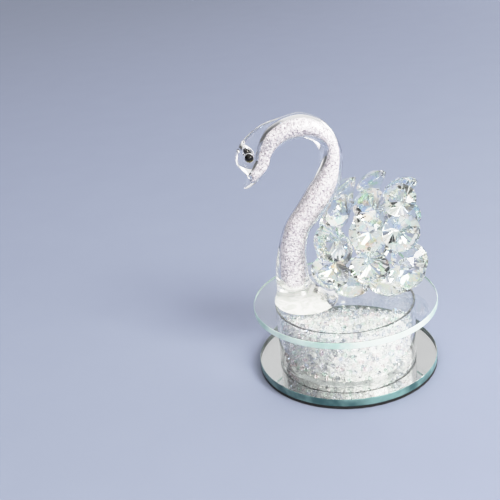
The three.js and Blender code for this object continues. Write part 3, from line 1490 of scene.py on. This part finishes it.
@dataclass
class Studio:
    """Floor, soft lamps, the pale room round them and the camera.

    Attributes:
        floor_side: width of the floor.
        lamps: the softboxes.
        camera_place: where the camera stands.
        camera_right: the picture's direction to the right.
        camera_up: the picture's upward direction.
        lens: focal length for a 36 mm wide picture, in millimetres.
        white_point: brightness that shows as pure white.
        highlight_roll: brightnesses and how they show, which keeps the glass's highlights from burning out.
        backdrop: colour that shows past the floor's end.
        walls: colour of the room.
        wall_glow: its brightness at the floor's level and above.
        wall_rise: height, as the direction's Z, at which it is as bright as above.
        dark_side: the direction's X where the room is darkest, and where the dark to the left ends.
        dark_glow: brightness of the dark, as a share.
        camera_dark: angle from the camera up to which the room is dark.
        camera_core: share of that angle that is darkest.
        camera_glow: brightness of that part, as a share.
    """

    floor_side: float = 6.0
    lamps: tuple[Softbox, ...] = (
        Softbox("key_softbox", (0.65, -0.5, 0.65), (0.0, 0.0, 0.05), 0.4, 21.5),
        Softbox("front_softbox", (0.3, -1.05, 0.5), (0.0, 0.0, 0.05), 0.8, 1.8, sparkles=False),
        Softbox("overhead_softbox", (0.15, -0.1, 0.9), (0.0, 0.0, 0.0), 1.2, 0.45),
        Softbox("side_softbox", (1.0, 0.5, 0.5), (0.0, 0.0, 0.07), 0.6, 1.0),
        Softbox("rear_softbox", (0.6, 1.15, 0.36), (0.0, 0.0, 0.07), 0.46, 2.6),
        Softbox("cool_sparkle", (-0.5, 0.45, 0.7), (0.0, 0.0, 0.06), 0.07, 12.0, "#CFE4FF"),
    )
    camera_place: tuple[float, float, float] = (0.0, -0.34672, 0.21335)
    camera_right: tuple[float, float, float] = (0.99281, 0.06959, -0.09742)
    camera_up: tuple[float, float, float] = (0.05995, 0.41534, 0.90769)
    lens: float = 63.19
    white_point: float = 2.6
    highlight_roll: tuple[tuple[float, float], ...] = ((0.35, 0.35), (0.65, 0.63), (0.95, 0.82), (1.4, 0.93))
    backdrop: str = "#8F97AC"
    walls: str = "#FDFDFD"
    wall_glow: tuple[float, float] = (1.05, 0.84)
    wall_rise: float = 0.4
    dark_side: tuple[float, float] = (-0.85, -0.2)
    dark_glow: float = 0.1
    camera_dark: float = math.radians(10.5)
    camera_core: float = 0.7
    camera_glow: float = 0.05

    def floor(self) -> None:
        """Lays the floor."""
        bm = bmesh.new()
        bmesh.ops.create_grid(bm, x_segments=8, y_segments=8, size=self.floor_side / 2)
        floor = bpy.data.objects.new("floor", mesh_of(bm, "floor"))
        floor.data.materials.append(CARD.material())
        bpy.context.scene.collection.objects.link(floor)

    def room(self) -> None:
        """Paints the room: pale, but dark to the left and round the camera, which the cut facets show."""
        world = bpy.data.worlds.new("pale_room")
        bpy.context.scene.world = world
        world.use_nodes = True
        tree = world.node_tree
        tree.nodes.clear()
        place = add_node(tree, "ShaderNodeTexCoord")
        axes = add_node(tree, "ShaderNodeSeparateXYZ", None, {"Vector": place.outputs["Generated"]})
        rise = add_node(
            tree,
            "ShaderNodeMapRange",
            {
                "From Max": self.wall_rise,
                "To Min": self.wall_glow[0],
                "To Max": self.wall_glow[1],
                "interpolation_type": "SMOOTHSTEP",
            },
            {"Value": axes.outputs["Z"]},
        )
        side = add_node(
            tree,
            "ShaderNodeMapRange",
            {
                "From Min": self.dark_side[0],
                "From Max": self.dark_side[1],
                "To Min": self.dark_glow,
                "interpolation_type": "SMOOTHSTEP",
            },
            {"Value": axes.outputs["X"]},
        )
        facing = add_node(
            tree,
            "ShaderNodeVectorMath",
            {"operation": "DOT_PRODUCT", 1: Vector(self.camera_place).normalized()},
            {0: place.outputs["Generated"]},
        )
        lens = add_node(
            tree,
            "ShaderNodeMapRange",
            {
                "From Min": math.cos(self.camera_dark),
                "From Max": math.cos(self.camera_core * self.camera_dark),
                "To Min": 1.0,
                "To Max": self.camera_glow,
                "interpolation_type": "SMOOTHSTEP",
            },
            {"Value": facing.outputs["Value"]},
        )
        glow = rise
        for dark in (side, lens):
            factors = {0: glow.outputs[0], 1: dark.outputs[0]}
            glow = add_node(tree, "ShaderNodeMath", {"operation": "MULTIPLY"}, factors)
        shader = add_node(
            tree, "ShaderNodeBackground", {"Color": linear(self.walls)}, {"Strength": glow.outputs[0]}
        )
        backdrop = add_node(tree, "ShaderNodeBackground", {"Color": linear(self.backdrop)})
        straight = add_node(tree, "ShaderNodeLightPath")
        seen = add_node(
            tree,
            "ShaderNodeMixShader",
            None,
            {0: straight.outputs["Is Camera Ray"], 1: shader.outputs[0], 2: backdrop.outputs[0]},
        )
        output = add_node(tree, "ShaderNodeOutputWorld")
        tree.links.new(seen.outputs[0], output.inputs["Surface"])

    def camera(self) -> None:
        """Stands the camera where the photograph was taken from."""
        data = bpy.data.cameras.new("camera")
        data.sensor_width = 36.0
        data.lens = self.lens
        data.clip_start = 0.01
        camera = bpy.data.objects.new("camera", data)
        right, up = Vector(self.camera_right), Vector(self.camera_up)
        turn = Matrix((right, up, right.cross(up))).transposed().to_4x4()
        turn.translation = self.camera_place
        camera.matrix_world = turn
        bpy.context.scene.collection.objects.link(camera)
        bpy.context.scene.camera = camera

    def light_paths(self) -> None:
        """Lets light pass through the many layers of glass, and shows colours as they are."""
        scene = bpy.context.scene
        scene.cycles.max_bounces = 28
        scene.cycles.transmission_bounces = 28
        scene.cycles.glossy_bounces = 12
        scene.cycles.diffuse_bounces = 4
        scene.cycles.sample_clamp_indirect = 6.0
        view = scene.view_settings
        view.view_transform = "Standard"
        view.use_curve_mapping = True
        curve = view.curve_mapping
        curve.white_level = (self.white_point,) * 3
        # The fourth line is the one for all three colours at once
        line = curve.curves[3]
        for seen, shown in self.highlight_roll:
            line.points.new(seen / self.white_point, shown)
        curve.update()

    def build(self) -> None:
        """Sets the studio up."""
        self.floor()
        self.room()
        for lamp in self.lamps:
            lamp.build()
        self.camera()
        self.light_paths()


def main() -> None:
    """Builds the figurine and the studio in order."""
    logging.basicConfig(level=logging.INFO, format="%(name)s: %(message)s")
    draw = np.random.default_rng(SEED)
    Studio().build()
    RoundStack().build(draw)
    Swan().build(draw)
    Wings().build()


if __name__ == "__main__":
    main()
